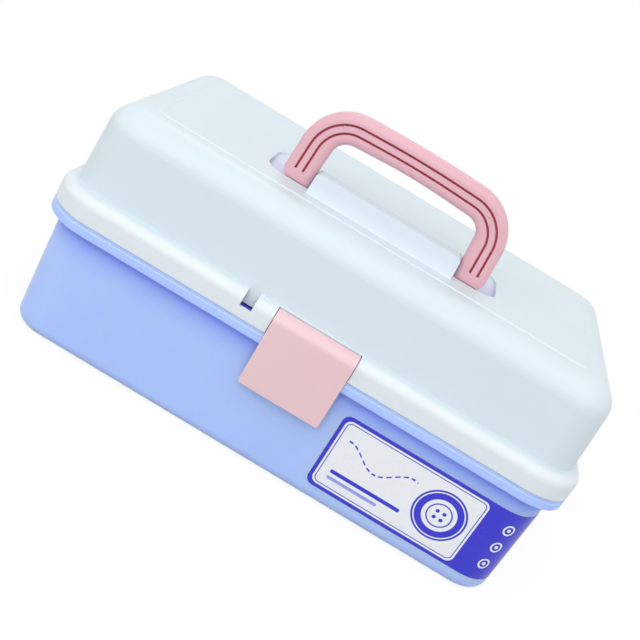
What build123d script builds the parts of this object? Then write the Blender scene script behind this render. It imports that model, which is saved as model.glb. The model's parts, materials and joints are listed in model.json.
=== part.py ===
from build123d import *
import math
import os

# Overall sizes of the closed box, in millimetres. X is the length, the front is -Y and Z is up.
length = 319.0
depth = 193.0
rim_height = 74.5
lid_height = 63.9
band_height = 14.7
rim_corner = 27.0

# Walls and drafts
base_wall = 2.4
base_floor = 2.6
base_draft = 1.25
base_inset_x = 6.9
base_inset_y = 4.5
foot_round = 6.5
lid_wall = 2.4
lid_draft = 3.0
lid_inset_x = 6.6
lid_inset_y = 7.2
lid_shoulder = 14.5
band_round = 6.6
panel_rise = 0.6
panel_margin_x = 26.3
panel_margin_y = 30.3
panel_corner = 7.0
panel_bevel = 50.0

# Rim of the base: an overhanging flange with a skirt, and a lip that stands inside the lid band
flange_height = 6.6
flange_top = 2.4
flange_round = 0.6
rim_step = 0.4
rim_step_height = 1.9
skirt_wall = 2.2
lip_height = 4.0
lip_wall = 2.0
lip_gap = 0.6
lip_rear_end = 40.0
lip_pin_gap = 6.5
rim_gap = 0.3

# Clearances between pieces
running = 0.06
seat = 0.02
free_gap = 0.4
overrun = 1.0
pin_end_wall = 0.9
pin_end_gap = 0.1
boss_bury = 0.4

# Lid hinge at the rear, two sets of knuckles
hinge_inset = 2.5
hinge_rise = 6.0
front_reach = 2.4
knuckle_margin = 65.0
knuckle_post_inset = 1.4
base_knuckle_width = 16.0
lid_knuckle_width = 10.0
hinge_pin_radius = 1.6
hinge_relief = 1.3

# Carrying handle on the lid, its recess and the saddle between its feet
handle_setback = 57.5
handle_thickness = 12.0
handle_foot_span = 127.0
handle_hand_span = 90.6
handle_top_span = 121.0
handle_inner_top_span = 87.0
handle_rise = 47.5
handle_bow = 2.6
grip_height = 16.6
handle_outer_round = 28.0
handle_inner_round = 9.5
handle_edge_round = 4.0
handle_heel_round = 9.5
groove_inset = 6.0
groove_spacing = 4.6
groove_width = 1.3
groove_depth = 2.4
groove_start = 6.0
handle_pin_radius = 2.0
handle_pin_reach = 8.0
recess_depth = 4.5
recess_front_gap = 1.4
recess_length = 44.5
recess_margin = 8.5
recess_corner = 11.5
recess_floor_length = 18.5
saddle_height = 10.5
saddle_depth = 14.0
saddle_toe = 8.6
saddle_edge = 0.8
saddle_round = 5.0
saddle_end_round = 2.0

# Latch on the front of the lid band
latch_width = 48.8
latch_drop = 39.0
latch_plate = 2.0
latch_barrel = 6.4
latch_roof_gap = 0.15
latch_eye = 3.9
latch_pin_rise = 8.5
latch_pin_radius = 1.5
latch_curl_end = 50.0
latch_foot_round = 1.6
latch_edge_round = 0.5
housing_wall = 2.4
slot_width = 6.7
slot_offset = 12.0
slot_sill = 5.6
shield_drop = 10.0
shield_half_width = 47.0

# Trays and the links that carry them
tray_wall = 1.8
tray_floor = 1.8
tray_corner = 6.0
tray_edge_round = 2.5
tray_end_gap = 1.7
lower_tray_front_gap = 12.5
lower_tray_back_gap = 20.5
lower_tray_height = 34.0
lower_tray_drop = 2.0
lower_tray_rows = [(0.42, 1), (0.58, 3)]
upper_tray_front_gap = 19.5
upper_tray_back_gap = 27.0
upper_tray_height = 34.5
upper_tray_drop = 0.5
upper_tray_rows = [(0.5, 4), (0.5, 2)]
link_thickness = 2.5
link_pocket_depth = 0.7
link_pocket_margin = 3.0
layer_gap = 0.55
eye_radius = 5.0
link_eye_radius = 4.2
pin_radius = 2.0
arm_length = 40.0
arm_angle = 200.0
arm_pivot_drop = 9.0
arm_pivot_gap = 30.5
arm_pivot_spacing = 64.0
link_pivot_drop = 8.0
link_pivot_offset = 4.0
link_eye_margin = 8.6
lid_pin_reach = 60.0
lid_boss_radius = 4.5

# Label stuck on the front right of the base
label_left = 34.0
label_low = 10.0
label_top_margin = 10.4
label_wrap = 31.8
label_thickness = 0.25
label_corner = 5.0

# Places worked out from the driving sizes
half_length = length / 2
half_depth = depth / 2
lid_top = rim_height + lid_height
band_bottom = rim_height + rim_gap
band_top = rim_height + rim_gap + band_height
flange_bottom = rim_height - flange_height
base_growth = flange_bottom * math.tan(math.radians(base_draft))
base_foot_x = half_length - base_inset_x - base_growth
base_foot_y = half_depth - base_inset_y - base_growth
base_corner = rim_corner - base_inset_x
hinge_y = half_depth - hinge_inset
hinge_z = rim_height + hinge_rise
knuckle_radius = hinge_inset + front_reach
knuckle_x = half_length - knuckle_margin
handle_y = -half_depth + handle_setback
handle_z = lid_top + handle_thickness / 2 + free_gap
foot_radius = math.hypot(handle_thickness / 2, handle_z - lid_top)
recess_front = handle_y - handle_thickness / 2 - recess_front_gap
saddle_end = handle_hand_span / 2 - free_gap
latch_pin_y = -half_depth - front_reach + latch_barrel
latch_pin_z = rim_height + latch_pin_rise
notch_half = latch_width / 2 + free_gap
base_inner_top = half_length - base_inset_x - base_wall
tray_half_length = base_inner_top - 2 * (layer_gap + link_thickness) - tray_end_gap
tray_inside = tray_half_length - tray_wall
lower_tray_front = -half_depth + lower_tray_front_gap
lower_tray_back = half_depth - lower_tray_back_gap
upper_tray_front = -half_depth + upper_tray_front_gap
upper_tray_back = half_depth - upper_tray_back_gap
link_low = tray_half_length + layer_gap
link_high = link_low + link_thickness
arm_low = link_high + layer_gap
arm_high = arm_low + link_thickness
arm_reach = (
    arm_length * math.cos(math.radians(arm_angle)),
    arm_length * math.sin(math.radians(arm_angle)),
)
link_reach = (-lid_pin_reach - arm_reach[0], -arm_reach[1])
arm_z = rim_height - arm_pivot_drop
link_z = rim_height - link_pivot_drop
lid_pin_y = hinge_y - lid_pin_reach
arm_pivot_rear = half_depth - arm_pivot_gap
arm_pivot_front = arm_pivot_rear - arm_pivot_spacing
link_pivot_rear = lid_pin_y - link_pivot_offset
link_pivot_front = upper_tray_front + link_eye_margin - link_reach[0]
arm_bore_end = base_inner_top + base_wall - pin_end_wall
latch_pin_half = notch_half + housing_wall
label_high = flange_bottom - label_top_margin
band_inner_x = half_length - lid_wall
band_inner_y = half_depth - lid_wall
sides = {"left": -1, "right": 1}
arm_places = {"rear": arm_pivot_rear, "front": arm_pivot_front}
link_places = {"rear": link_pivot_rear, "front": link_pivot_front}


def rounded_prism(half_x, half_y, corner, low, high, draft=0.0):
    """Upright block with rounded corners; a positive draft narrows it upwards."""
    outline = Plane.XY.offset(low) * RectangleRounded(2 * half_x, 2 * half_y, corner)
    return extrude(outline, high - low, taper=draft)


def block(x_range, y_range, z_range):
    """Plain box between three pairs of limits."""
    size = [high - low for low, high in (x_range, y_range, z_range)]
    middle = [(high + low) / 2 for low, high in (x_range, y_range, z_range)]
    return Pos(*middle) * Box(*size)


def end_plane(x, y=0.0, z=0.0):
    """Drawing plane across the length: its own x runs along Y and its own y runs along Z."""
    return Plane(origin=(x, y, z), x_dir=(0, 1, 0), z_dir=(1, 0, 0))


def rod(radius, x_one, x_two, y, z):
    """Round bar along X between two places."""
    low = min(x_one, x_two)
    return extrude(end_plane(low, y, z) * Circle(radius), abs(x_two - x_one))


def end_prism(points, x_low, x_high):
    """Outline in the Y-Z plane carried along X."""
    outline = end_plane(x_low) * Polygon(*points, align=None)
    return extrude(outline, x_high - x_low, dir=(1, 0, 0))


def link_plate(x_low, start, end, radius, bore):
    """Flat link with an eye at each end and a shallow pocket along its middle."""
    dy = end[0] - start[0]
    dz = end[1] - start[1]
    span = math.hypot(dy, dz)
    origin = (x_low, (start[0] + end[0]) / 2, (start[1] + end[1]) / 2)
    plane = Plane(origin=origin, x_dir=(0, dy, dz), z_dir=(1, 0, 0))
    outline = SlotCenterToCenter(span, 2 * radius)
    eyes = Pos(-span / 2, 0) * Circle(bore) + Pos(span / 2, 0) * Circle(bore)
    plate = extrude(plane * (outline - eyes), link_thickness)
    pocket = SlotOverall(span - 2 * radius - link_pocket_margin, radius)
    face = plane.offset(link_thickness - link_pocket_depth)
    return plate - extrude(face * pocket, link_pocket_depth)


def base_tub():
    """Blue lower shell: drafted tub, overhanging rim with a skirt, lip, hinge knuckles and arm bosses."""
    outer = rounded_prism(base_foot_x, base_foot_y, base_corner, 0, rim_height, -base_draft)
    body = fillet(outer.faces().sort_by(Axis.Z)[0].edges(), foot_round)
    step_bottom = rim_height - rim_step_height
    flange = rounded_prism(half_length, half_depth, rim_corner, flange_bottom, step_bottom)
    flange = fillet(flange.edges().filter_by(Plane.XY), flange_round)
    flange += rounded_prism(
        half_length - rim_step,
        half_depth - rim_step,
        rim_corner - rim_step,
        flange_bottom,
        rim_height,
    )
    groove = rounded_prism(
        half_length - skirt_wall,
        half_depth - skirt_wall,
        rim_corner - skirt_wall,
        flange_bottom - overrun,
        rim_height - flange_top,
    )
    inner = rounded_prism(
        base_foot_x - base_wall,
        base_foot_y - base_wall,
        base_corner - base_wall,
        base_floor,
        rim_height + overrun,
        -base_draft,
    )
    inner = fillet(inner.faces().sort_by(Axis.Z)[0].edges(), foot_round - base_wall)
    lip_out = lid_wall + lip_gap
    lip_in = lip_out + lip_wall
    lip = rounded_prism(
        half_length - lip_out,
        half_depth - lip_out,
        rim_corner - lip_out,
        rim_height - overrun,
        rim_height + lip_height,
    )
    lip -= rounded_prism(
        half_length - lip_in,
        half_depth - lip_in,
        rim_corner - lip_in,
        rim_height - overrun,
        rim_height + lip_height,
    )
    housing_half = notch_half + housing_wall + 2 * free_gap
    above = (rim_height, rim_height + lip_height + overrun)
    lip -= block((-half_length, half_length), (hinge_y - lip_rear_end, half_depth), above)
    lip -= block((-housing_half, housing_half), (-half_depth, 0), above)
    pin_range = (lid_pin_y - lip_pin_gap, lid_pin_y + lip_pin_gap)
    lip -= block((-half_length, half_length), pin_range, above)
    body = body + (flange - groove) + flange_web()
    body = body - inner + lip
    for x in (-knuckle_x, knuckle_x):
        low = x - base_knuckle_width / 2
        high = x + base_knuckle_width / 2
        body += rod(knuckle_radius, low, high, hinge_y, hinge_z)
        post = (hinge_y - knuckle_radius + knuckle_post_inset, half_depth)
        body += block((low, high), post, (rim_height - flange_top, hinge_z))
        body -= rod(hinge_pin_radius + seat, low, high, hinge_y, hinge_z)
    for side in sides.values():
        for y in arm_places.values():
            near = side * (arm_high + layer_gap)
            body += rod(eye_radius, near, side * (base_inner_top + boss_bury), y, arm_z)
            body -= rod(pin_radius + seat, near, side * arm_bore_end, y, arm_z)
    return body


def flange_web():
    """Top of the rim between the wall and the skirt."""
    return rounded_prism(
        half_length - skirt_wall / 2,
        half_depth - skirt_wall / 2,
        rim_corner - skirt_wall / 2,
        rim_height - flange_top,
        rim_height,
    )


def recess_shape(extra):
    """Space of the handle recess in the lid top, grown by a wall thickness where asked."""
    half = handle_foot_span / 2 + recess_margin + extra
    front = recess_front - extra
    back = recess_front + recess_length + extra
    floor = lid_top - recess_depth - extra
    ramp = recess_front + recess_floor_length
    profile = [
        (front, lid_top + overrun),
        (front, floor),
        (ramp, floor),
        (back, lid_top - extra),
        (back, lid_top + overrun),
    ]
    trough = end_prism(profile, -half, half)
    middle = Pos(0, (front + back) / 2, 0)
    top = lid_top + 2 * overrun
    outline = rounded_prism(half, (back - front) / 2, recess_corner + extra, floor - overrun, top)
    return trough & (middle * outline)


def saddle():
    """Raised bar between the feet of the handle."""
    toe = recess_front - saddle_toe
    back = recess_front + saddle_depth
    top = lid_top + saddle_height
    foot = lid_top - recess_depth - lid_wall
    buried = lid_top - panel_rise - lid_wall / 2
    profile = [
        (toe, buried),
        (toe, lid_top),
        (recess_front, top),
        (back, top),
        (back, foot),
        (recess_front, foot),
        (recess_front, buried),
    ]
    bar = end_prism(profile, -saddle_end, saddle_end)
    bar = fillet(bar.edges().filter_by(Axis.X).group_by(Axis.Z)[-1].sort_by(Axis.Y)[0], saddle_edge)
    bar = fillet(bar.edges().filter_by(Axis.X).group_by(Axis.Z)[-1].sort_by(Axis.Y)[-1], saddle_round)
    tall = 2 * (top - foot)
    plane = Plane(origin=(0, back + overrun, top - tall / 2), x_dir=(1, 0, 0), z_dir=(0, -1, 0))
    outline = plane * RectangleRounded(2 * saddle_end, tall, saddle_end_round)
    return bar & extrude(outline, back - toe + 2 * overrun)


def lid_shell():
    """White lid: rim band, drafted walls, round shoulder, raised panel, handle recess, latch housing."""
    shell_top = lid_top - panel_rise
    band = rounded_prism(half_length, half_depth, rim_corner, band_bottom, band_top)
    band = fillet(band.faces().sort_by(Axis.Z)[-1].edges(), band_round)
    wall_x = half_length - lid_inset_x
    wall_y = half_depth - lid_inset_y
    wall_corner = rim_corner - lid_inset_x
    crown = rounded_prism(wall_x, wall_y, wall_corner, band_top, shell_top, lid_draft)
    crown = fillet(crown.faces().sort_by(Axis.Z)[-1].edges(), lid_shoulder)
    panel = rounded_prism(
        half_length - panel_margin_x,
        half_depth - panel_margin_y,
        panel_corner,
        shell_top - panel_rise,
        lid_top,
        panel_bevel,
    )
    band_room = rounded_prism(
        band_inner_x, band_inner_y, rim_corner - lid_wall, band_bottom, band_top - lid_wall
    )
    band_room = fillet(band_room.faces().sort_by(Axis.Z)[-1].edges(), band_round - lid_wall)
    crown_room = rounded_prism(
        wall_x - lid_wall,
        wall_y - lid_wall,
        wall_corner - lid_wall,
        band_top - lid_wall,
        shell_top - lid_wall,
        lid_draft,
    )
    crown_room = fillet(crown_room.faces().sort_by(Axis.Z)[-1].edges(), lid_shoulder - lid_wall)
    room = band_room + (crown_room - recess_shape(lid_wall))
    lid = band + crown + panel - room - recess_shape(0)
    lid += saddle()
    lid = latch_housing(lid, band + crown)
    lid -= block(
        (-half_length, half_length),
        (hinge_y - hinge_inset, half_depth + overrun),
        (rim_height, rim_height + hinge_relief),
    )
    for x in (-knuckle_x, knuckle_x):
        lid = hinge_knuckles(lid, x)
    for side in sides.values():
        boss_end = side * (band_inner_x + boss_bury)
        lid += rod(lid_boss_radius, side * link_low, boss_end, lid_pin_y, hinge_z)
        lid -= rod(pin_radius + seat, side * link_low, side * band_inner_x, lid_pin_y, hinge_z)
        reach = side * (saddle_end - handle_pin_reach)
        lid -= rod(handle_pin_radius + seat, reach, side * saddle_end, handle_y, handle_z)
    return lid


def latch_housing(lid, envelope):
    """Pocket for the latch in the band, a shield wall behind it and the slot beside it."""
    back = latch_pin_y + latch_barrel + free_gap
    roof = latch_pin_z + latch_barrel + free_gap
    half = latch_pin_half
    shield = block(
        (-shield_half_width, shield_half_width),
        (back, back + lid_wall),
        (band_top - shield_drop, band_top - lid_wall / 2),
    )
    casing = block((-half, half), (-half_depth, back + lid_wall), (band_bottom, roof + housing_wall))
    wall_face = -half_depth + lid_inset_y
    shelf = block(
        (-shield_half_width, shield_half_width),
        (wall_face + lid_wall / 2, back + lid_wall),
        (band_top - lid_wall, band_top),
    )
    slot_high = -latch_width / 2 - slot_offset
    slot_range = (slot_high - slot_width, slot_high)
    slot_low = band_bottom + slot_sill
    slot_back = block(
        (slot_range[0] - lid_wall, slot_range[1] + lid_wall),
        (wall_face, back + lid_wall),
        (slot_low, band_top),
    )
    lid = lid + ((casing + shield + shelf + slot_back) & envelope)
    notch_range = (-notch_half, notch_half)
    lid -= block(notch_range, (-half_depth - overrun, back), (rim_height, latch_pin_z))
    lid -= rod(latch_barrel + latch_roof_gap, *notch_range, latch_pin_y, latch_pin_z)
    lid -= block(slot_range, (-half_depth - overrun, wall_face), (slot_low, band_top + overrun))
    lid -= block(slot_range, (wall_face - overrun, 0), (band_bottom, slot_low))
    lid -= rod(latch_pin_radius + seat, -half, half - pin_end_wall, latch_pin_y, latch_pin_z)
    return lid


def hinge_knuckles(lid, x):
    """Window for one base knuckle, with a lid knuckle at each side of it."""
    gap_half = base_knuckle_width / 2 + free_gap
    window_top = hinge_z + knuckle_radius + free_gap
    window_front = hinge_y - knuckle_radius - free_gap
    window_range = (window_front, half_depth + overrun)
    lid -= block((x - gap_half, x + gap_half), window_range, (rim_height, window_top))
    for side in (-1, 1):
        near = x + side * gap_half
        far = near + side * lid_knuckle_width
        lid += rod(knuckle_radius, near, far, hinge_y, hinge_z)
        lid -= rod(hinge_pin_radius + running, near, far, hinge_y, hinge_z)
    return lid


def handle_corner(inset):
    """Upper right corner of the handle's outer edge, moved inwards by an inset."""
    foot = handle_z - lid_top - foot_radius
    leg = Vector(handle_top_span / 2 - handle_foot_span / 2, handle_rise - foot).normalized()
    top = Vector(-handle_top_span / 2, handle_bow).normalized()
    corner = Vector(handle_top_span / 2, handle_rise)
    turn = leg.get_angle(top)
    along = (leg - top).normalized()
    return corner - along * (inset / math.cos(math.radians(turn / 2)))


def bow_radius(half_span):
    """Radius of the bowed grip whose arc fills half of a span."""
    return half_span**2 / (2 * handle_bow)


def handle_path(inset, start):
    """U line at an inset from the handle's outer edge, from one foot over the grip to the other."""
    corner = handle_corner(inset)
    foot = handle_z - lid_top - foot_radius
    lean = (handle_foot_span - handle_top_span) / 2 / (handle_rise - foot)
    apex = corner.Y + corner.X * 2 * handle_bow / handle_top_span
    side = corner.X + (corner.Y - start) * lean
    points = [(side, start), (corner.X, corner.Y), (0, apex), (-corner.X, corner.Y), (-side, start)]
    corner_round = handle_outer_round - inset
    return points, [corner_round, bow_radius(corner.X), corner_round]


def handle_outline(foot):
    """Closed U outline of the handle in the X-Z plane, measured from the lid top."""
    inner = handle_hand_span / 2
    inner_top = handle_inner_top_span / 2
    under = handle_rise - grip_height
    step = saddle_height + 2 * free_gap
    points, rounds = handle_path(0, foot)
    outer = FilletPolyline(*points, radius=rounds)
    inner_points = [
        (-inner, foot),
        (-inner, step),
        (-inner_top, under),
        (0, under + handle_bow),
        (inner_top, under),
        (inner, step),
        (inner, foot),
    ]
    toe = handle_thickness / 2
    inner_rounds = [toe, handle_inner_round, bow_radius(inner_top), handle_inner_round, toe]
    opening = FilletPolyline(*inner_points, radius=inner_rounds)
    ends = [Line(outer @ 0, opening @ 1).edge(), Line(opening @ 0, outer @ 1).edge()]
    return make_face(outer.edges() + opening.edges() + ends)


def handle_room(plane, foot):
    """Space that holds the finished handle: rounded heels at the sides and round feet underneath."""
    tall = 2 * handle_rise
    outline = Pos(0, foot + tall / 2) * RectangleRounded(handle_foot_span, tall, handle_heel_round)
    heels = extrude(plane.offset(-overrun) * outline, handle_thickness + 2 * overrun)
    feet = rod(foot_radius, -half_length, half_length, handle_y, handle_z)
    above = block((-half_length, half_length), (-half_depth, half_depth), (handle_z, 2 * lid_top))
    return heels & (feet + above)


def carry_handle():
    """Pink U handle with two grooves along its front face."""
    foot = handle_z - lid_top - foot_radius
    back = handle_y + handle_thickness / 2
    plane = Plane(origin=(0, back, lid_top), x_dir=(1, 0, 0), z_dir=(0, -1, 0))
    handle = extrude(plane * handle_outline(foot - handle_thickness), handle_thickness)
    faces = handle.faces().sort_by(Axis.Y)
    edges = faces[0].edges() + faces[-1].edges()
    low_end = lid_top + foot - handle_thickness / 2
    handle = fillet([edge for edge in edges if edge.bounding_box().max.Z > low_end], handle_edge_round)
    handle &= handle_room(plane, foot)
    front = plane.offset(handle_thickness - groove_depth)
    for inset in (groove_inset, groove_inset + groove_spacing):
        points, rounds = handle_path(inset, groove_start)
        line = trace(FilletPolyline(*points, radius=rounds), groove_width)
        handle -= extrude(front * line, groove_depth)
    for side in sides.values():
        reach = side * (handle_hand_span / 2 + handle_pin_reach)
        handle -= rod(handle_pin_radius + running, side * saddle_end, reach, handle_y, handle_z)
    return handle


def handle_pins():
    """One pivot pin at each end of the saddle."""
    pins = []
    for side in sides.values():
        near = side * (saddle_end - handle_pin_reach)
        far = side * (handle_hand_span / 2 + handle_pin_reach - free_gap)
        pins.append(rod(handle_pin_radius, near, far, handle_y, handle_z))
    return pins


def latch():
    """Pink latch: plate in front of the rim, rolled over at its top round the pin."""
    half = latch_width / 2
    face = latch_pin_y - latch_barrel
    foot = latch_pin_z - latch_drop
    plate = block((-half, half), (face, face + latch_plate), (foot, latch_pin_z))
    curl = rod(latch_barrel, -half, half, latch_pin_y, latch_pin_z)
    reach = 2 * latch_barrel
    turn = math.radians(latch_curl_end)
    keep = end_prism(
        [
            (latch_pin_y, latch_pin_z),
            (latch_pin_y - reach, latch_pin_z),
            (latch_pin_y - reach, latch_pin_z + reach),
            (latch_pin_y + reach * math.cos(turn), latch_pin_z + reach * math.sin(turn)),
        ],
        -half,
        half,
    )
    body = plate + (curl & keep) + rod(latch_eye, -half, half, latch_pin_y, latch_pin_z)
    body = fillet(body.edges().filter_by(Axis.Y).group_by(Axis.Z)[0], latch_foot_round)
    front = body.faces().filter_by(Axis.Y).sort_by(Axis.Y)[0]
    body = fillet([edge for edge in front.edges() if edge.center().Z < latch_pin_z], latch_edge_round)
    return body - rod(latch_pin_radius + running, -half, half, latch_pin_y, latch_pin_z)


def latch_pin():
    """Rod through the latch and both cheeks of its housing."""
    far = latch_pin_half - pin_end_wall - pin_end_gap
    return rod(latch_pin_radius, -latch_pin_half, far, latch_pin_y, latch_pin_z)


def hinge_pin(x):
    """Rod through one base knuckle and its two lid knuckles."""
    half = base_knuckle_width / 2 + free_gap + lid_knuckle_width
    return rod(hinge_pin_radius, x - half, x + half, hinge_y, hinge_z)


def tray(front, back, low, high, rows):
    """Open moulded tray; rows lists each row's share of the depth and its number of compartments."""
    middle = (front + back) / 2
    half_y = (back - front) / 2
    shell = Pos(0, middle, 0) * rounded_prism(tray_half_length, half_y, tray_corner, low, high)
    shell = fillet(shell.faces().sort_by(Axis.Z)[0].edges(), tray_edge_round)
    clear_depth = back - front - tray_wall * (len(rows) + 1)
    start = front + tray_wall
    for share, count in rows:
        row_depth = clear_depth * share
        clear_length = 2 * tray_half_length - tray_wall * (count + 1)
        cell = clear_length / count
        for index in range(count):
            x = -tray_half_length + tray_wall + cell / 2 + index * (cell + tray_wall)
            place = Pos(x, start + row_depth / 2, 0)
            corner = tray_corner - tray_wall
            room = rounded_prism(cell / 2, row_depth / 2, corner, low + tray_floor, high + overrun)
            room = fillet(room.faces().sort_by(Axis.Z)[0].edges(), tray_edge_round)
            shell -= place * room
        start += row_depth + tray_wall
    return shell


def lower_tray():
    """Lower tray with spacer bosses for the arms and bores for the upper links."""
    high = rim_height - lower_tray_drop
    body = tray(lower_tray_front, lower_tray_back, high - lower_tray_height, high, lower_tray_rows)
    for side in sides.values():
        inside = side * tray_inside
        bore_start = inside - side * overrun
        for y in arm_places.values():
            eye = (y + arm_reach[0], arm_z + arm_reach[1])
            body += rod(eye_radius, inside, side * (arm_low - layer_gap), *eye)
            body -= rod(pin_radius + seat, bore_start, side * arm_low, *eye)
        for y in link_places.values():
            body -= rod(pin_radius + seat, bore_start, side * link_low, y, link_z)
    return body


def upper_tray():
    """Upper tray with bores for the links and for the lid pins."""
    low = rim_height - upper_tray_drop
    body = tray(upper_tray_front, upper_tray_back, low, low + upper_tray_height, upper_tray_rows)
    for side in sides.values():
        bore_start = side * (tray_inside - overrun)
        for y in link_places.values():
            eye = (y + link_reach[0], link_z + link_reach[1])
            body -= rod(pin_radius + seat, bore_start, side * link_low, *eye)
        body -= rod(pin_radius + running, bore_start, side * link_low, lid_pin_y, hinge_z)
    return body


def long_arm(side, y):
    """Arm from a pivot on the base end wall to the end of the lower tray."""
    low = min(side * arm_low, side * arm_high)
    start = (y, arm_z)
    end = (y + arm_reach[0], arm_z + arm_reach[1])
    return link_plate(low, start, end, eye_radius, pin_radius + running)


def short_link(side, y):
    """Link from the end of the lower tray to the end of the upper tray."""
    low = min(side * link_low, side * link_high)
    start = (y, link_z)
    end = (y + link_reach[0], link_z + link_reach[1])
    return link_plate(low, start, end, link_eye_radius, pin_radius + running)


def pin_set(places, near, far, reach, height):
    """Four pins of one kind, two at each end of the box."""
    pins = []
    for side in sides.values():
        for y in places.values():
            pins.append(rod(pin_radius, side * near, side * far, y + reach[0], height + reach[1]))
    return pins


def lid_pins():
    """Pins that carry the upper tray in the lid ends."""
    far = band_inner_x - free_gap
    return [rod(pin_radius, side * tray_inside, side * far, lid_pin_y, hinge_z) for side in sides.values()]


def label_sticker():
    """Thin label on the front of the base, carried round the right front corner."""
    grown = rounded_prism(
        base_foot_x + label_thickness,
        base_foot_y + label_thickness,
        base_corner + label_thickness,
        0,
        rim_height,
        -base_draft,
    )
    tub = rounded_prism(base_foot_x, base_foot_y, base_corner, 0, rim_height, -base_draft)
    y_range = (-half_depth, -half_depth + label_wrap)
    window = block((label_left, half_length), y_range, (label_low, label_high))
    window = fillet(window.edges().filter_by(Axis.Y).group_by(Axis.X)[0], label_corner)
    window = fillet(window.edges().filter_by(Axis.X).group_by(Axis.Y)[-1], label_corner)
    return (grown - tub) & window


nodes = {
    "base_tub": [base_tub()],
    "lid_shell": [lid_shell()],
    "carry_handle": [carry_handle()],
    "handle_pins": handle_pins(),
    "latch": [latch()],
    "latch_pin": [latch_pin()],
    "hinge_pin_left": [hinge_pin(-knuckle_x)],
    "hinge_pin_right": [hinge_pin(knuckle_x)],
    "lower_tray": [lower_tray()],
    "upper_tray": [upper_tray()],
    "base_arm_pins": pin_set(arm_places, arm_low, arm_bore_end - pin_end_gap, (0, 0), arm_z),
    "lower_tray_arm_pins": pin_set(arm_places, tray_inside, arm_high, arm_reach, arm_z),
    "lower_tray_link_pins": pin_set(link_places, tray_inside, link_high, (0, 0), link_z),
    "upper_tray_link_pins": pin_set(link_places, tray_inside, link_high, link_reach, link_z),
    "lid_pins": lid_pins(),
    "label_sticker": [label_sticker()],
}
for side_name, side_sign in sides.items():
    for place_name, place_y in arm_places.items():
        nodes[f"long_arm_{place_name}_{side_name}"] = [long_arm(side_sign, place_y)]
    for place_name, place_y in link_places.items():
        nodes[f"short_link_{place_name}_{side_name}"] = [short_link(side_sign, place_y)]

os.makedirs("parts", exist_ok=True)
for name, pieces in nodes.items():
    solids = [solid for piece in pieces for solid in piece.solids()]
    export_step(Compound(children=solids) if len(solids) > 1 else solids[0], f"parts/{name}.step")
    print(name, len(solids), round(sum(solid.volume for solid in solids), 1))
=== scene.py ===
import json
import math
import bpy
import numpy as np
from mathutils import Matrix, Vector


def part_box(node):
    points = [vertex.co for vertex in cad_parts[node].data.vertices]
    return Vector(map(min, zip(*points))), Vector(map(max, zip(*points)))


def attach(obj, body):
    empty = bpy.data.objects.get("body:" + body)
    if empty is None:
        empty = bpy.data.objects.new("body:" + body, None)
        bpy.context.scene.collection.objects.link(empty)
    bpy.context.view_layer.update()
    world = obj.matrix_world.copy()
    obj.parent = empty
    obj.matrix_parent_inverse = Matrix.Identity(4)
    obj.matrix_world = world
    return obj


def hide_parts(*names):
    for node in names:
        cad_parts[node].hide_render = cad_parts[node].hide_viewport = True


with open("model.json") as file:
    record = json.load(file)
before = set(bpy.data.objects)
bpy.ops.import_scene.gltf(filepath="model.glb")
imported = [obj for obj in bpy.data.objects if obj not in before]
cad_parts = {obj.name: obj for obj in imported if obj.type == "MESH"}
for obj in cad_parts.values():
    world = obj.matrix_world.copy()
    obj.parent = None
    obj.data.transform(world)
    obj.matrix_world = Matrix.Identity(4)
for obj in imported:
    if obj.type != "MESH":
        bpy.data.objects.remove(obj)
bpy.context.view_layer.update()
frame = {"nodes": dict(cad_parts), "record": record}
print("frame loaded:", len(frame["nodes"]), "nodes")


# Small helpers for node trees

def linear(red, green, blue):
    # screen value to light: c/12.92 below 0.04045, else ((c + 0.055) / 1.055) ** 2.4
    values = np.array([red, green, blue], float) / 255.0
    low = values / 12.92
    high = ((values + 0.055) / 1.055) ** 2.4
    return tuple(np.where(values <= 0.04045, low, high)) + (1.0,)


def addNode(tree, kind, **settings):
    node = tree.nodes.new(kind)
    for key, value in settings.items():
        setattr(node, key, value)
    return node


def plug(tree, source, socket):
    # a number or a colour is set on the socket, an output is linked to it
    if isinstance(source, (int, float, tuple)):
        socket.default_value = source
    else:
        tree.links.new(source, socket)


def calc(tree, operation, first, second=0.0):
    node = addNode(tree, "ShaderNodeMath", operation=operation)
    plug(tree, first, node.inputs[0])
    plug(tree, second, node.inputs[1])
    return node.outputs[0]


def product(tree, *factors):
    result = factors[0]
    for factor in factors[1:]:
        result = calc(tree, "MULTIPLY", result, factor)
    return result


def mixColour(tree, share, first, second):
    # inputs 6 and 7 and output 2 are the Mix node's colour sockets
    node = addNode(tree, "ShaderNodeMix", data_type="RGBA")
    plug(tree, share, node.inputs["Factor"])
    plug(tree, first, node.inputs[6])
    plug(tree, second, node.inputs[7])
    return node.outputs[2]


def remap(tree, value, fromLow, fromHigh, toLow, toHigh):
    node = addNode(tree, "ShaderNodeMapRange", clamp=True)
    plug(tree, value, node.inputs[0])
    for socket, number in zip(node.inputs[1:5], (fromLow, fromHigh, toLow, toHigh)):
        socket.default_value = number
    return node.outputs[0]


def cloud(tree, coords, scale, detail=2.0, rough=0.5, stretch=None):
    # soft noise from 0 to 1; a stretch below 1 draws the pattern out along that axis
    if stretch:
        mapping = addNode(tree, "ShaderNodeMapping")
        mapping.inputs["Scale"].default_value = stretch
        tree.links.new(coords, mapping.inputs["Vector"])
        coords = mapping.outputs[0]
    noise = addNode(tree, "ShaderNodeTexNoise")
    noise.inputs["Scale"].default_value = scale
    noise.inputs["Detail"].default_value = detail
    noise.inputs["Roughness"].default_value = rough
    tree.links.new(coords, noise.inputs["Vector"])
    return noise.outputs["Fac"]


wideSpan = (0.3, 0.7)  # part of a cloud's values that a wide remap spreads out
narrowSpan = (0.35, 0.65)
plainDetail = 1.0  # cloud with one finer octave over its base


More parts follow.
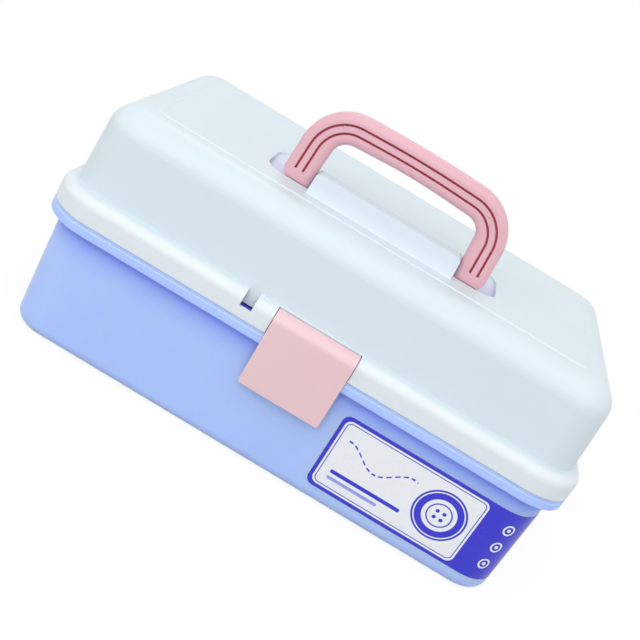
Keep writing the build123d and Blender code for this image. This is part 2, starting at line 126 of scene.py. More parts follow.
def splitCoords(tree, vector):
    split = addNode(tree, "ShaderNodeSeparateXYZ")
    tree.links.new(vector, split.inputs[0])
    return split.outputs


def roundedBox(tree, across, up, halfWide, halfTall, corner):
    # signed distance to a rounded rectangle: |max(q, 0)| + min(max(qx, qy), 0) - corner,
    # where q is the distance of each coordinate past the straight part
    qx = calc(tree, "SUBTRACT", calc(tree, "ABSOLUTE", across), halfWide - corner)
    qy = calc(tree, "SUBTRACT", calc(tree, "ABSOLUTE", up), halfTall - corner)
    ox = calc(tree, "MAXIMUM", qx, 0.0)
    oy = calc(tree, "MAXIMUM", qy, 0.0)
    outside = calc(tree, "SQRT", calc(tree, "ADD", product(tree, ox, ox), product(tree, oy, oy)))
    inside = calc(tree, "MINIMUM", calc(tree, "MAXIMUM", qx, qy), 0.0)
    return calc(tree, "SUBTRACT", calc(tree, "ADD", outside, inside), corner)


def startMaterial(name):
    material = bpy.data.materials.new(name)
    material.use_nodes = True
    tree = material.node_tree
    tree.nodes.clear()
    output = addNode(tree, "ShaderNodeOutputMaterial")
    shader = addNode(tree, "ShaderNodeBsdfPrincipled")
    tree.links.new(shader.outputs[0], output.inputs["Surface"])
    return material, tree, shader


def addBump(tree, shader, height, distance, strength, normal=None):
    bump = addNode(tree, "ShaderNodeBump")
    bump.inputs["Strength"].default_value = strength
    bump.inputs["Distance"].default_value = distance
    tree.links.new(height, bump.inputs["Height"])
    if normal:
        tree.links.new(normal, bump.inputs["Normal"])
    tree.links.new(bump.outputs[0], shader.inputs["Normal"])


# Finishes of the moulded pieces; colours are screen values, lengths are metres

# each "edge" colour is a painted highlight laid along sharp edges
plastics = {
    "basePlastic": {
        "colour": (176, 201, 255), "drift": (171, 197, 254), "edge": (200, 217, 255), "edgeShare": 0.35,
        "roughness": (0.30, 0.42), "subsurface": 0.7, "bleed": (0.0008, 0.0014, 0.0100),
    },
    "lidPlastic": {
        "colour": (211, 224, 231), "drift": (207, 221, 228), "edge": (224, 234, 240), "edgeShare": 0.2,
        "roughness": (0.34, 0.46), "subsurface": 0.15, "bleed": (0.0020, 0.0022, 0.0026),
    },
    "handlePlastic": {
        "colour": (224, 176, 186), "drift": (220, 170, 181), "edge": (242, 204, 209), "edgeShare": 0.5,
        "roughness": (0.34, 0.46), "subsurface": 0.05, "bleed": (0.0020, 0.0010, 0.0010),
    },
    "latchPlastic": {
        "colour": (231, 199, 203), "drift": (228, 194, 199), "edge": (250, 222, 222), "edgeShare": 0.9,
        "roughness": (0.34, 0.46), "subsurface": 0.05, "bleed": (0.0020, 0.0010, 0.0010),
    },
    "trayPlastic": {
        "colour": (170, 192, 246), "drift": (162, 184, 240), "edge": (198, 214, 252), "edgeShare": 0.6,
        "roughness": (0.34, 0.46), "subsurface": 0.10, "bleed": (0.0010, 0.0016, 0.0040),
    },
    "linkPlastic": {
        "colour": (226, 230, 236), "drift": (220, 224, 231), "edge": (240, 243, 247), "edgeShare": 0.6,
        "roughness": (0.34, 0.46), "subsurface": 0.05, "bleed": (0.0020, 0.0020, 0.0020),
    },
    # painted shade: a vivid deep blue that reads as the navy shade behind the slot
    "slotShadeBlue": {
        "colour": (62, 72, 222), "drift": (57, 66, 216), "edge": (80, 92, 232), "edgeShare": 0.4,
        "roughness": (0.34, 0.46), "subsurface": 0.05, "bleed": (0.0010, 0.0010, 0.0030),
    },
}

mouldTexture = {
    "flowScale": 9.0, "flowDetail": 3.0, "flowShare": 0.8, "speckScale": 700.0, "speckShare": 0.2,
    "patchScale": 60.0, "patchDetail": 4.0, "patchFine": 0.6,
    "scuffScale": 240.0, "scuffStretch": (1.0, 0.06, 0.5), "scuffFrom": (0.66, 0.74), "scuffRough": 0.12,
    "grainScale": 1600.0, "waveScale": 14.0, "waveShare": 6.0, "grainHeight": 0.00002, "grainStrength": 0.5,
    "edgeReach": 0.0004, "edgeSamples": 8, "edgeTurn": (0.98, 0.80), "edgeHighlightBreakup": (0.6, 1.0),
    "refraction": 1.49, "bleedScale": 1.0,
}


def edgeMask(tree, coords, texture, share):
    # 1 where the normal averaged over a small reach turns away from the surface's own normal; it places the
    # painted edge highlight
    soft = addNode(tree, "ShaderNodeBevel", samples=texture["edgeSamples"])
    soft.inputs["Radius"].default_value = texture["edgeReach"]
    own = addNode(tree, "ShaderNodeNewGeometry").outputs["Normal"]
    turn = addNode(tree, "ShaderNodeVectorMath", operation="DOT_PRODUCT")
    tree.links.new(soft.outputs[0], turn.inputs[0])
    tree.links.new(own, turn.inputs[1])
    edge = remap(tree, turn.outputs["Value"], *texture["edgeTurn"], 0.0, share)
    # the painted edge highlight is broken up by a patchy cloud
    highlightBreakup = remap(tree, cloud(tree, coords, texture["patchScale"]), *narrowSpan, *texture["edgeHighlightBreakup"])
    return product(tree, edge, highlightBreakup), soft.outputs[0]


def mouldedPlastic(name, look, texture, paintedShading=()):
    # colour drifts slowly between two shades and pales along sharp edges in a painted highlight, roughness
    # follows a finer cloud with thin scuffs over it, and the bump is a fine grain over a long soft sink
    # wave
    material, tree, shader = startMaterial(name)
    coords = addNode(tree, "ShaderNodeTexCoord").outputs["Object"]
    flow = cloud(tree, coords, texture["flowScale"], texture["flowDetail"])
    flow = remap(tree, flow, *wideSpan, 0.0, texture["flowShare"])
    speck = cloud(tree, coords, texture["speckScale"])
    speck = remap(tree, speck, *narrowSpan, 0.0, texture["speckShare"])
    drifted = calc(tree, "ADD", flow, speck)
    tone = mixColour(tree, drifted, linear(*look["colour"]), linear(*look["drift"]))
    # painted highlight: the edge colour laid along sharp edges
    edge, softNormal = edgeMask(tree, coords, texture, look["edgeShare"])
    tone = mixColour(tree, edge, tone, linear(*look["edge"]))
    # painted light and shade laid over the colour by place
    for stainAndShade in paintedShading:
        tone = mixColour(tree, stainAndShade["mask"](tree, coords, stainAndShade), tone, linear(*stainAndShade["colour"]))
    tree.links.new(tone, shader.inputs["Base Color"])
    patch = cloud(tree, coords, texture["patchScale"], texture["patchDetail"], texture["patchFine"])
    scuff = cloud(tree, coords, texture["scuffScale"], plainDetail, stretch=texture["scuffStretch"])
    scuffed = remap(tree, scuff, *texture["scuffFrom"], 0.0, texture["scuffRough"])
    rough = calc(tree, "ADD", remap(tree, patch, *wideSpan, *look["roughness"]), scuffed)
    tree.links.new(rough, shader.inputs["Roughness"])
    grain = cloud(tree, coords, texture["grainScale"])
    wave = product(tree, cloud(tree, coords, texture["waveScale"], plainDetail), texture["waveShare"])
    relief = calc(tree, "ADD", wave, grain)
    addBump(tree, shader, relief, texture["grainHeight"], texture["grainStrength"], softNormal)
    shader.subsurface_method = "BURLEY"
    shader.inputs["IOR"].default_value = texture["refraction"]
    shader.inputs["Subsurface Weight"].default_value = look["subsurface"]
    shader.inputs["Subsurface Radius"].default_value = look["bleed"]
    shader.inputs["Subsurface Scale"].default_value = texture["bleedScale"]
    return material


def grooveMask(tree, coords, groove):
    # 1 inside the handle's two front grooves, where dark red is laid as painted shade: deeper than the
    # front face, above the ends of the feet, and between two insets from the outer U edge, whose legs lean
    # and whose grip is bowed
    low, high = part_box("carry_handle")
    x, y, z = splitCoords(tree, coords)[:3]
    lean = product(tree, calc(tree, "SUBTRACT", high.z, z), groove["lean"])
    wide = calc(tree, "SUBTRACT", calc(tree, "ABSOLUTE", x), lean)
    share = calc(tree, "DIVIDE", x, groove["halfTop"])
    bowed = calc(tree, "ADD", z, product(tree, share, share, groove["bow"]))
    tall = 2 * (high.z - low.z)  # reaches well below the feet, so that only the upper corners count
    up = calc(tree, "SUBTRACT", bowed, high.z - tall / 2)
    distance = roundedBox(tree, wide, up, groove["halfTop"], tall / 2, groove["corner"])
    near, far = groove["insets"]
    past = calc(tree, "LESS_THAN", distance, -near)
    between = product(tree, past, calc(tree, "GREATER_THAN", distance, -far))
    start, full, end = groove["depths"]
    depth = calc(tree, "SUBTRACT", y, low.y)
    sunk = remap(tree, depth, start, full, 0.0, 1.0)
    clear = calc(tree, "GREATER_THAN", z, low.z + groove["footGap"])
    return product(tree, between, sunk, clear, calc(tree, "LESS_THAN", depth, end))


saddleRise = 0.0105  # saddle between the handle's feet, over the lid's top panel


def recessMask(tree, coords, recess):
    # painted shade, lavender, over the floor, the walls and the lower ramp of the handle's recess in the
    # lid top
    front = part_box("carry_handle")[0].y - recess["frontGap"]
    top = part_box("lid_shell")[1].z - saddleRise
    x, y, z = splitCoords(tree, coords)[:3]
    middle = calc(tree, "SUBTRACT", y, front + recess["length"] / 2)
    inside = roundedBox(tree, x, middle, recess["halfWide"], recess["length"] / 2, recess["corner"])
    within = remap(tree, inside, 0.0, recess["edge"], 1.0, 0.0)
    near, far = recess["fade"]
    along = remap(tree, calc(tree, "SUBTRACT", y, front), near, far, recess["share"], 0.0)
    sunk = remap(tree, z, top - recess["edge"], top, 1.0, 0.0)
    above = calc(tree, "GREATER_THAN", z, top - recess["depth"])
    return product(tree, within, along, sunk, above)


def rimMask(tree, coords, rim):
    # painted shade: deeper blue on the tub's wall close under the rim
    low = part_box("base_tub")[1].z - rim["below"]
    z = splitCoords(tree, coords)[2]
    near = remap(tree, z, low - rim["reach"], low, 0.0, 1.0)
    return product(tree, near, near, calc(tree, "LESS_THAN", z, low), rim["share"])


def saddleMask(tree, coords, saddle):
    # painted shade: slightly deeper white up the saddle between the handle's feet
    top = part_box("lid_shell")[1].z - saddleRise
    z = splitCoords(tree, coords)[2]
    return remap(tree, z, top, top + saddle["reach"], 0.0, saddle["share"])


def bandMask(tree, coords, band):
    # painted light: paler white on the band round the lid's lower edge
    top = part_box("lid_shell")[0].z + band["tall"]
    z = splitCoords(tree, coords)[2]
    return remap(tree, z, top - band["fade"], top, band["share"], 0.0)


# painted shade: dark red in the handle's front grooves
groovePaintedShade = {
    "mask": grooveMask, "colour": (200, 84, 100), "halfTop": 0.0605, "lean": 0.063, "corner": 0.028,
    "bow": 0.0026, "insets": (0.0042, 0.0130), "depths": (0.0005, 0.0011, 0.0032),
    "footGap": 0.0050,
}

# painted light: paler white on the lid's lower band
bandPaintedLight = {"mask": bandMask, "colour": (222, 230, 235), "tall": 0.0147, "fade": 0.0015, "share": 0.9}

# painted shade: deeper white on the saddle's lit face
saddlePaintedShade = {"mask": saddleMask, "colour": (197, 209, 221), "reach": 0.006, "share": 0.8}

# painted shade: deeper blue under the rim
rimPaintedShade = {"mask": rimMask, "colour": (104, 133, 245), "below": 0.0175, "reach": 0.020, "share": 0.95}

# painted shade: lavender in the handle's recess, as of bounce light from the pink handle
recessPaintedShade = {
    "mask": recessMask, "colour": (207, 206, 232), "frontGap": 0.0014, "length": 0.0445,
    "halfWide": 0.0720, "corner": 0.0115, "edge": 0.0008, "depth": 0.0053,
    "fade": (0.022, 0.042), "share": 0.9,
}

wireFinish = {
    "colour": (196, 198, 202), "stainAndShade": (172, 174, 180), "roughness": (0.22, 0.40),
    "lineScale": 900.0, "lineDetail": 3.0, "lineFine": 0.6, "lineStretch": (0.03, 1.0, 1.0),
    "lineHeight": 0.00001, "lineStrength": 0.4, "stainScale": 120.0, "stainDetail": 3.0,
}


def drawnSteel(name, look):
    # drawn wire: fine lines along X in the roughness and bump, dull stains in the colour
    material, tree, shader = startMaterial(name)
    coords = addNode(tree, "ShaderNodeTexCoord").outputs["Object"]
    fine = (look["lineDetail"], look["lineFine"], look["lineStretch"])
    lines = cloud(tree, coords, look["lineScale"], *fine)
    stainAndShade = remap(tree, cloud(tree, coords, look["stainScale"], look["stainDetail"]), *wideSpan, 0.0, 1.0)
    tone = mixColour(tree, stainAndShade, linear(*look["colour"]), linear(*look["stainAndShade"]))
    tree.links.new(tone, shader.inputs["Base Color"])
    tree.links.new(remap(tree, lines, *wideSpan, *look["roughness"]), shader.inputs["Roughness"])
    addBump(tree, shader, lines, look["lineHeight"], look["lineStrength"])
    shader.inputs["Metallic"].default_value = 1.0
    return material


nodeFinish = {
    "slots": {
        "base_blue": "basePlastic", "lid_white": "lidPlastic", "tray_blue": "trayPlastic",
        "link_white": "linkPlastic", "pin_steel": "pinSteel", "label": "linkPlastic",
    },
    "nodes": {"carry_handle": "handlePlastic", "latch": "latchPlastic"},
    # painted light and shade over each finish
    "paintedShading": {
        "handlePlastic": (groovePaintedShade,), "lidPlastic": (recessPaintedShade, saddlePaintedShade, bandPaintedLight),
        "basePlastic": (rimPaintedShade,),
    },
}


def finishNodes(choice):
    made = {"pinSteel": drawnSteel("pinSteel", wireFinish)}
    for name, look in plastics.items():
        made[name] = mouldedPlastic(name, look, mouldTexture, choice["paintedShading"].get(name, ()))
    slots = {row["node"]: row["material_slot"] for row in frame["record"]["subparts"]}
    for node, piece in frame["nodes"].items():
        name = choice["nodes"][node] if node in choice["nodes"] else choice["slots"][slots[node]]
        piece.data.materials.clear()
        piece.data.materials.append(made[name])
    return made


finishes = finishNodes(nodeFinish)
print("finishes on the CAD pieces:", len(finishes))


# Meshes from arrays

def addPiece(name, points, faceSets, material, body, uv=None, sharp=None):
    mesh = bpy.data.meshes.new(name)
    mesh.from_pydata(points.tolist(), [], [face for faces in faceSets for face in faces.tolist()])
    if uv is not None:
        layer = mesh.uv_layers.new(name="surface")
        corners = np.zeros(len(mesh.loops), np.int32)
        mesh.loops.foreach_get("vertex_index", corners)
        layer.data.foreach_set("uv", uv[corners].astype(np.float32).ravel())
    mesh.polygons.foreach_set("use_smooth", np.ones(len(mesh.polygons), bool))
    if sharp:
        mesh.set_sharp_from_angle(angle=math.radians(sharp))
    mesh.materials.append(material)
    mesh.validate()
    mesh.update()
    piece = bpy.data.objects.new(name, mesh)
    bpy.context.scene.collection.objects.link(piece)
    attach(piece, body)
    return piece


def gridFaces(rows, columns, start, flip):
    # four corners of each grid cell, as rows of vertex numbers
    cell = (np.arange(rows - 1)[:, None] * columns + np.arange(columns - 1)[None, :]).ravel() + start
    corners = np.stack([cell, cell + 1, cell + columns + 1, cell + columns], 1)
    return corners[:, ::-1] if flip else corners


def gridRim(rows, columns):
    # the grid's boundary, once round
    numbers = np.arange(rows * columns).reshape(rows, columns)
    return np.concatenate([numbers[0, :-1], numbers[:-1, -1], numbers[-1, :0:-1], numbers[:0:-1, 0]])


# Label film round the right front corner of the tub

labelFilm = {
    "tubDraft": 1.25,  # degrees, as the wall it lies on
    "tubCorner": 0.0201,  # corner of the tub at the floor
    "cadThickness": 0.00025,
    "proud": 0.00014,  # film over the wall
    "buried": 0.00001,
    "cornerRound": 0.0045,
    "columns": 160,
    "rows": 48,
    "bunching": 0.6,
}

perMetre = 1000.0  # millimetres in a metre

labelInk = {
    # print in millimetres from the film's lower left corner, levels as shares of its height;
    # the ripple's height is in metres
    "white": (236, 240, 244), "blue": (52, 50, 205), "paleBlue": (150, 160, 232),
    "endStart": 93.0, "panelMargin": 2.2, "panelCorner": 4.0,
    "lineMargin": 3.6, "lineCorner": 3.0, "lineHalf": 0.28,
    "stitchSpan": (9.0, 52.0), "stitchLevel": 0.62, "stitchTurns": 0.16, "stitchRise": 5.0,
    "stitchRate": 0.26, "stitchGap": 0.38, "stitchHalf": 0.55, "stitchEnd": 1.0,
    "bars": (((9.0, 52.0), (12.2, 14.6), "blue"), ((9.0, 40.0), (8.2, 10.2), "paleBlue")),
    "barCorner": 0.9,
    "buttonAt": 71.0, "discRadius": 15.5, "buttonRadius": 9.8,
    "buttonRings": ((14.0, 0.35, "white"), (7.0, 0.40, "blue")),
    "holeStep": 2.1, "holeRadius": 1.15,
    "ringAt": 107.0, "ringLevels": (0.24, 0.50, 0.76), "ringRadius": 3.0, "ringHalf": 0.5,
    "dotRadius": 1.1, "soft": 0.11,
    "rippleScale": 70.0, "rippleDetail": 3.0, "rippleHeight": 0.00006, "rippleStrength": 0.3,
    "roughness": (0.22, 0.34), "refraction": 1.46,
}


def filmSurface(film):
    # developed length s and height z over the drafted wall: straight along the front, round the
    # corner by the angle s / radius, then along the side; the radius grows with z by the draft
    low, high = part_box("label_sticker")
    lean = math.tan(math.radians(film["tubDraft"]))
    height = high.z - low.z
    topRadius = film["tubCorner"] + high.z * lean
    centre = (high.x - film["cadThickness"] - topRadius, low.y + film["cadThickness"] + topRadius)
    midRadius = topRadius - height / 2 * lean
    front = centre[0] - low.x
    around = midRadius * math.pi / 2
    total = front + around + (high.y - centre[1])
    # rows bunch towards the rounded corners, and each row's ends draw in by the corner circle
    v = np.linspace(0.0, 1.0, film["rows"] + 1)
    v = v - np.sin(2 * math.pi * v) / (2 * math.pi) * film["bunching"]
    edge = np.minimum(v, 1 - v) * height
    corner = film["cornerRound"]
    drawn = corner - np.sqrt(np.maximum(corner**2 - (corner - edge) ** 2, 0.0))
    pull = np.where(edge < corner, drawn, 0.0)[:, None]
    u = np.linspace(0.0, 1.0, film["columns"] + 1)[None, :]
    s = pull + u * (total - 2 * pull)
    z = np.broadcast_to((low.z + v * height)[:, None], s.shape)
    radius = topRadius - (high.z - z) * lean
    angle = np.clip((s - front) / midRadius, 0.0, math.pi / 2)
    beyond = np.maximum(s - front - around, 0.0)
    before = np.minimum(s - front, 0.0)

    def place(offset):
        x = centre[0] + (radius + offset) * np.sin(angle) + before
        y = centre[1] - (radius + offset) * np.cos(angle) + beyond
        return np.stack([x, y, z], -1)

    uv = np.stack([s / total, (z - low.z) / height], -1)
    size = (total * perMetre, height * perMetre)
    return place(film["proud"]), place(film["buried"]), uv, size


def labelPrint(ink, wide, tall):
    # print drawn by distance to simple shapes: a rim, a button in a disc, stitches and plain bars
    material, tree, shader = startMaterial("labelPrint")
    mapping = addNode(tree, "ShaderNodeMapping")
    mapping.inputs["Scale"].default_value = (wide, tall, 1.0)
    surface = addNode(tree, "ShaderNodeUVMap", uv_map="surface").outputs[0]
    tree.links.new(surface, mapping.inputs["Vector"])
    across, up = splitCoords(tree, mapping.outputs[0])[:2]
    colours = {key: linear(*ink[key]) for key in ("white", "blue", "paleBlue")}
    soft = ink["soft"]

    def box(xSpan, ySpan, corner):
        x = calc(tree, "SUBTRACT", across, sum(xSpan) / 2)
        y = calc(tree, "SUBTRACT", up, sum(ySpan) / 2)
        return roundedBox(tree, x, y, (xSpan[1] - xSpan[0]) / 2, (ySpan[1] - ySpan[0]) / 2, corner)

    def disc(x, y, radius):
        return box((x - radius, x + radius), (y - radius, y + radius), radius)

    def fill(distance):
        return remap(tree, distance, -soft, soft, 1.0, 0.0)

    def line(distance, half):
        return remap(tree, calc(tree, "ABSOLUTE", distance), half - soft, half + soft, 1.0, 0.0)

    def framed(margin, corner):
        return box((margin, ink["endStart"] - margin), (margin, tall - margin), corner)

    panel = fill(framed(ink["panelMargin"], ink["panelCorner"]))
    tone = mixColour(tree, panel, colours["blue"], colours["white"])
    inner = line(framed(ink["lineMargin"], ink["lineCorner"]), ink["lineHalf"])
    tone = mixColour(tree, inner, tone, colours["blue"])
    # running stitches along a slow wave
    turn = calc(tree, "SINE", product(tree, across, ink["stitchTurns"]))
    level = calc(tree, "SUBTRACT", up, tall * ink["stitchLevel"])
    away = calc(tree, "SUBTRACT", level, product(tree, turn, ink["stitchRise"]))
    beat = calc(tree, "FRACT", product(tree, across, ink["stitchRate"]))
    dash = calc(tree, "GREATER_THAN", beat, ink["stitchGap"])
    reach = fill(box(ink["stitchSpan"], (0.0, tall), ink["stitchEnd"]))
    stitches = product(tree, line(away, ink["stitchHalf"]), dash, reach)
    tone = mixColour(tree, stitches, tone, colours["blue"])
    for xSpan, ySpan, colour in ink["bars"]:
        tone = mixColour(tree, fill(box(xSpan, ySpan, ink["barCorner"])), tone, colours[colour])
    # four-hole button in a disc
    x, y = ink["buttonAt"], tall / 2
    tone = mixColour(tree, fill(disc(x, y, ink["discRadius"])), tone, colours["blue"])
    tone = mixColour(tree, fill(disc(x, y, ink["buttonRadius"])), tone, colours["white"])
    for radius, half, colour in ink["buttonRings"]:
        tone = mixColour(tree, line(disc(x, y, radius), half), tone, colours[colour])
    step = ink["holeStep"]
    for dx, dy in ((-step, -step), (step, -step), (-step, step), (step, step)):
        tone = mixColour(tree, fill(disc(x + dx, y + dy, ink["holeRadius"])), tone, colours["blue"])
    # blue end round the corner, with a row of small rings
    tone = mixColour(tree, calc(tree, "GREATER_THAN", across, ink["endStart"]), tone, colours["blue"])
    for share in ink["ringLevels"]:
        ring = line(disc(ink["ringAt"], tall * share, ink["ringRadius"]), ink["ringHalf"])
        dot = fill(disc(ink["ringAt"], tall * share, ink["dotRadius"]))
        tone = mixColour(tree, calc(tree, "MAXIMUM", ring, dot), tone, colours["white"])
    tree.links.new(tone, shader.inputs["Base Color"])
    coords = addNode(tree, "ShaderNodeTexCoord").outputs["Object"]
    ripple = cloud(tree, coords, ink["rippleScale"], ink["rippleDetail"])
    tree.links.new(remap(tree, ripple, *wideSpan, *ink["roughness"]), shader.inputs["Roughness"])
    addBump(tree, shader, ripple, ink["rippleHeight"], ink["rippleStrength"])
    shader.inputs["IOR"].default_value = ink["refraction"]
    return material


def makeLabel(film, ink):
    # outer and inner sheet with a strip of faces round the rim, so that the film is closed
    outer, inner, uv, size = filmSurface(film)
    rows, columns = outer.shape[:2]
    count = rows * columns
    rim = gridRim(rows, columns)
    after = np.roll(rim, -1)
    edge = np.stack([rim, rim + count, after + count, after], 1)
    faces = [gridFaces(rows, columns, 0, False), gridFaces(rows, columns, count, True), edge]
    points = np.concatenate([outer.reshape(-1, 3), inner.reshape(-1, 3)])
    flat = uv.reshape(-1, 2)
    printed = labelPrint(ink, *size)
    piece = addPiece("labelFilm", points, faces, printed, "base", uv=np.concatenate([flat, flat]))
    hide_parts("label_sticker")


makeLabel(labelFilm, labelInk)
print("label film laid")


# Small turned and moulded details

pinHeads = {
    "trayWall": 0.0018, "radius": 0.0034, "height": 0.0011, "rings": 6, "segments": 28, "sharp": 50.0,
    "groups": {
        "lowerTrayPinHeads": ("lower_tray", ("lower_tray_arm_pins", "lower_tray_link_pins")),
        "upperTrayPinHeads": ("upper_tray", ("upper_tray_link_pins",)),
        "lidPinHeads": ("lid", ("lid_pins",)),
    },
}

gateMarks = {
    "places": ((-0.0447, 0.1771), (0.0451, 0.1760)), "radius": 0.0007, "height": 0.00016,
    "rings": 5, "segments": 20, "sharp": 50.0,
}


def domes(centres, bases, shape):
    # each dome is an ellipse turned about its axis, with a flat back:
    # centre + a h sin(t) + r cos(t) (b cos(u) + c sin(u)), t from 0 at the rim to a quarter turn at the tip
    t = np.linspace(0.0, math.pi / 2, shape["rings"], endpoint=False)[:, None, None]
    u = np.linspace(0.0, 2 * math.pi, shape["segments"], endpoint=False)[None, :, None]
    count = shape["rings"] * shape["segments"]
    points, faces, fans = [], [], []
    cell = np.arange(count).reshape(shape["rings"], shape["segments"])
    after = np.roll(cell, -1, 1)
    quads = np.stack([cell[:-1], after[:-1], after[1:], cell[1:]], -1).reshape(-1, 4)
    tip = np.stack([cell[-1], after[-1], np.full(shape["segments"], count)], -1)
    back = np.stack([after[0], cell[0], np.full(shape["segments"], count + 1)], -1)
    for index, (centre, (a, b, c)) in enumerate(zip(centres, bases)):
        turned = b * np.cos(u) + c * np.sin(u)
        shell = centre + a * shape["height"] * np.sin(t) + shape["radius"] * np.cos(t) * turned
        points += [shell.reshape(-1, 3), (centre + a * shape["height"])[None], centre[None]]
        start = index * (count + 2)
        faces.append(quads + start)
        fans += [tip + start, back + start]
    return np.concatenate(points), faces + fans


def makePinHeads(shape):
    # heads stand on the inside of the trays' end walls, on the pins' own axes
    for name, (body, groups) in shape["groups"].items():
        centres, bases = [], []
        for group in groups:
            low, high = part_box(group)
            radius = (high.z - low.z) / 2
            rows = sorted({round(low.y + radius, 6), round(high.y - radius, 6)})
            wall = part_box("upper_tray")[1].x - shape["trayWall"]
            for side in (-1.0, 1.0):
                for y in rows:
                    centres.append(np.array([side * wall, y, (low.z + high.z) / 2]))
                    bases.append(np.array([(-side, 0, 0), (0, 1, 0), (0, 0, -side)], float))
        points, faces = domes(centres, bases, shape)
        addPiece(name, points, faces, finishes["pinSteel"], body, sharp=shape["sharp"])


def makeGateMarks(shape):
    # two small moulding marks between the grooves, on the handle's front face
    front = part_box("carry_handle")[0].y
    centres = [np.array([x, front, z]) for x, z in shape["places"]]
    bases = [np.array([(0, -1, 0), (1, 0, 0), (0, 0, 1)], float)] * len(centres)
    points, faces = domes(centres, bases, shape)
    finish = finishes["handlePlastic"]
    addPiece("handleGateMarks", points, faces, finish, "handle", sharp=shape["sharp"])


# painted shade: the block behind the slot stands in for the navy shade seen there
slotShadeTab = {
    "across": (-0.0430, -0.0365), "deep": (-0.0936, -0.0896), "up": (0.0770, 0.0798), "sharp": 30.0,
}


def makeSlotShadeTab(tab):
    # painted shade: a deep-blue block behind the slot beside the latch, for the navy shade seen through the
    # slot, a plain block from all corner combinations
    grid = np.meshgrid(tab["across"], tab["deep"], tab["up"], indexing="ij")
    corners = np.stack(grid, -1).reshape(-1, 3)
    sides = [(0, 1, 3, 2), (4, 6, 7, 5), (0, 4, 5, 1), (2, 3, 7, 6), (0, 2, 6, 4), (1, 5, 7, 3)]
    finish = finishes["slotShadeBlue"]
    addPiece("slotShadeTab", corners, [np.array(sides)], finish, "base", sharp=tab["sharp"])


makePinHeads(pinHeads)
makeGateMarks(gateMarks)
makeSlotShadeTab(slotShadeTab)
print("pin heads, gate marks and slot tab set")


# Camera at the photograph's view, and a plain white studio

photoView = {
    "imageSide": 640,  # pixels
    "focalLength": 1076.5,  # pixels
    "sensor": 36.0,  # millimetres
    "azimuth": -0.589,  # degrees
    "elevation": 21.307,
    "roll": 31.238,
    "target": (-0.00275, 0.0, 0.05914),  # metres
    "distance": 0.65054,
    "clip": (0.02, 100.0),
}

studio = {
    # lengths in metres, lamp power in watts
    "floorSide": 40.0,
    "worldStrength": 0.62,
    "floorColour": 0.50,
    "shadowShare": 0.10,  # lit part of what the camera sees of the floor, the rest is its own white
    "whiteFrom": (0.30, 0.75),  # distance from the middle where the floor goes over to plain white
    "aim": (0.0, 0.0, 0.07),
    "lamps": {
        "keySoftbox": {"at": (0.10, -0.70, 1.30), "size": (1.70, 1.30), "power": 6.9},
        "frontFill": {"at": (-0.25, -1.35, 0.75), "size": (1.4, 1.0), "power": 7.4},
        "leftFill": {"at": (-1.50, -0.35, 0.55), "size": (0.9, 0.7), "power": 2.6},
        "rightFill": {"at": (1.50, -0.10, 0.50), "size": (0.9, 0.7), "power": 1.4},
        "backFill": {"at": (-0.30, 1.30, 1.50), "size": (1.0, 0.8), "power": 4.0},
    },
}


def placeCamera(view):
    # back points from the target to the camera; right and up are turned about it by the roll
    azimuth, elevation, roll = (math.radians(view[key]) for key in ("azimuth", "elevation", "roll"))
    level = Vector((math.sin(azimuth), -math.cos(azimuth), 0.0))
    back = level * math.cos(elevation) + Vector((0.0, 0.0, math.sin(elevation)))
    right = Vector((math.cos(azimuth), math.sin(azimuth), 0.0))
    up = back.cross(right)
    turnedRight = right * math.cos(roll) + up * math.sin(roll)
    turnedUp = up * math.cos(roll) - right * math.sin(roll)
    camera = bpy.data.objects.new("photoCamera", bpy.data.cameras.new("photoCamera"))
    bpy.context.scene.collection.objects.link(camera)
    camera.data.sensor_width = view["sensor"]
    camera.data.lens = view["focalLength"] * view["sensor"] / view["imageSide"]
    camera.data.clip_start, camera.data.clip_end = view["clip"]
    place = Matrix((turnedRight, turnedUp, back)).transposed().to_4x4()
    place.translation = Vector(view["target"]) + back * view["distance"]
    camera.matrix_world = place
    bpy.context.scene.camera = camera


def seenDirectly(tree):
    # 1 for rays that look straight at the room, in a mirror or through glass
    path = addNode(tree, "ShaderNodeLightPath")
    look = calc(tree, "MAXIMUM", path.outputs["Is Camera Ray"], path.outputs["Is Glossy Ray"])
    return calc(tree, "MAXIMUM", look, path.outputs["Is Transmission Ray"])


def mixShaders(tree, share, first, second):
    mix = addNode(tree, "ShaderNodeMixShader")
    tree.links.new(share, mix.inputs[0])
    tree.links.new(first.outputs[0], mix.inputs[1])
    tree.links.new(second.outputs[0], mix.inputs[2])
    return mix


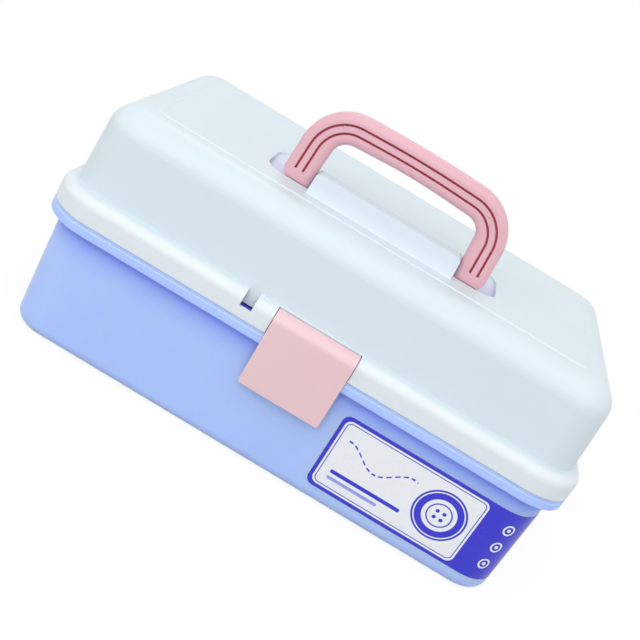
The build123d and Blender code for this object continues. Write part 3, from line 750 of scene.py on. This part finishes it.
def floorMaterial(room):
    # the floor lights the box as plain grey, and is seen as white that keeps the box's shadow
    material = bpy.data.materials.new("studioFloor")
    material.use_nodes = True
    tree = material.node_tree
    tree.nodes.clear()
    lit = addNode(tree, "ShaderNodeBsdfDiffuse")
    lit.inputs["Color"].default_value = (room["floorColour"],) * 3 + (1.0,)
    catch = addNode(tree, "ShaderNodeBsdfDiffuse")
    catch.inputs["Color"].default_value = (room["shadowShare"],) * 3 + (1.0,)
    glow = addNode(tree, "ShaderNodeEmission")
    glow.inputs["Strength"].default_value = 1.0 - room["shadowShare"]
    near = addNode(tree, "ShaderNodeAddShader")
    tree.links.new(catch.outputs[0], near.inputs[0])
    tree.links.new(glow.outputs[0], near.inputs[1])
    far = addNode(tree, "ShaderNodeEmission")
    away = addNode(tree, "ShaderNodeVectorMath", operation="LENGTH")
    tree.links.new(addNode(tree, "ShaderNodeTexCoord").outputs["Object"], away.inputs[0])
    fade = remap(tree, away.outputs["Value"], *room["whiteFrom"], 0.0, 1.0)
    floor = mixShaders(tree, seenDirectly(tree), lit, mixShaders(tree, fade, near, far))
    tree.links.new(floor.outputs[0], addNode(tree, "ShaderNodeOutputMaterial").inputs["Surface"])
    return material


def buildFloor(room):
    half = room["floorSide"] / 2
    mesh = bpy.data.meshes.new("studioFloor")
    corners = [(-half, -half, 0), (half, -half, 0), (half, half, 0), (-half, half, 0)]
    mesh.from_pydata(corners, [], [(0, 1, 2, 3)])
    mesh.materials.append(floorMaterial(room))
    floor = bpy.data.objects.new("studioFloor", mesh)
    bpy.context.scene.collection.objects.link(floor)


def buildWorld(room):
    world = bpy.data.worlds.new("studioWorld")
    world.use_nodes = True
    tree = world.node_tree
    tree.nodes.clear()
    soft = addNode(tree, "ShaderNodeBackground")
    white = addNode(tree, "ShaderNodeBackground")
    for background, strength in ((soft, room["worldStrength"]), (white, 1.0)):
        background.inputs["Color"].default_value = (1.0, 1.0, 1.0, 1.0)
        background.inputs["Strength"].default_value = strength
    mix = mixShaders(tree, seenDirectly(tree), soft, white)
    tree.links.new(mix.outputs[0], addNode(tree, "ShaderNodeOutputWorld").inputs["Surface"])
    bpy.context.scene.world = world


def hangLamps(room):
    for name, lamp in room["lamps"].items():
        light = bpy.data.lights.new(name, "AREA")
        light.shape = "RECTANGLE"
        light.size, light.size_y = lamp["size"]
        light.energy = lamp["power"]
        holder = bpy.data.objects.new(name, light)
        bpy.context.scene.collection.objects.link(holder)
        holder.location = lamp["at"]
        aim = Vector(room["aim"]) - Vector(lamp["at"])
        holder.rotation_euler = aim.to_track_quat("-Z", "Y").to_euler()


placeCamera(photoView)
buildFloor(studio)
buildWorld(studio)
hangLamps(studio)
bpy.context.scene.view_settings.view_transform = "Standard"
print("camera and studio ready")
